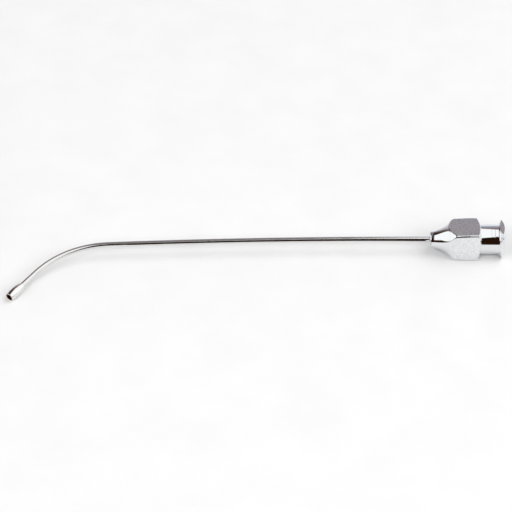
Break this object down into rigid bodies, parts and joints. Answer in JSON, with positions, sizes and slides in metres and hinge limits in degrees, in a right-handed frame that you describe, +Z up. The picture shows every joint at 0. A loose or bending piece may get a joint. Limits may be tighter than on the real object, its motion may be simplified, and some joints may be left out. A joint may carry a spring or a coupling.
{
  "type": "dispensing needle tip",
  "caption": "Bent blunt metal dispensing needle: a thin tube with a barrel-shaped olive end, soldered into a hub of square bar with a Luer socket and locking lugs.",
  "frame": {"origin": "centre of the Luer socket's mouth, in the plane of the mouth's face", "axes": "+X out of the mouth along the hub's axis, so the tube runs towards -X; +Z up as the tip lies on one of the hub's flats; the tube bends towards -Y"},
  "size_m": [0.098, 0.019, 0.0062],
  "materials": {
    "hub_chrome": "bright chrome plate over turned and milled brass",
    "tube_steel": "drawn stainless steel tube, buffed",
    "olive_chrome": "turned and polished, bright plate",
    "solder": "silver solder, smooth where it shows"
  },
  "bodies": {
    "root": {"hub": "hub_chrome", "needle_tube": "tube_steel", "olive_tip": "olive_chrome", "hub_solder": "solder", "tip_solder": "solder"}
  },
  "joints": []
}
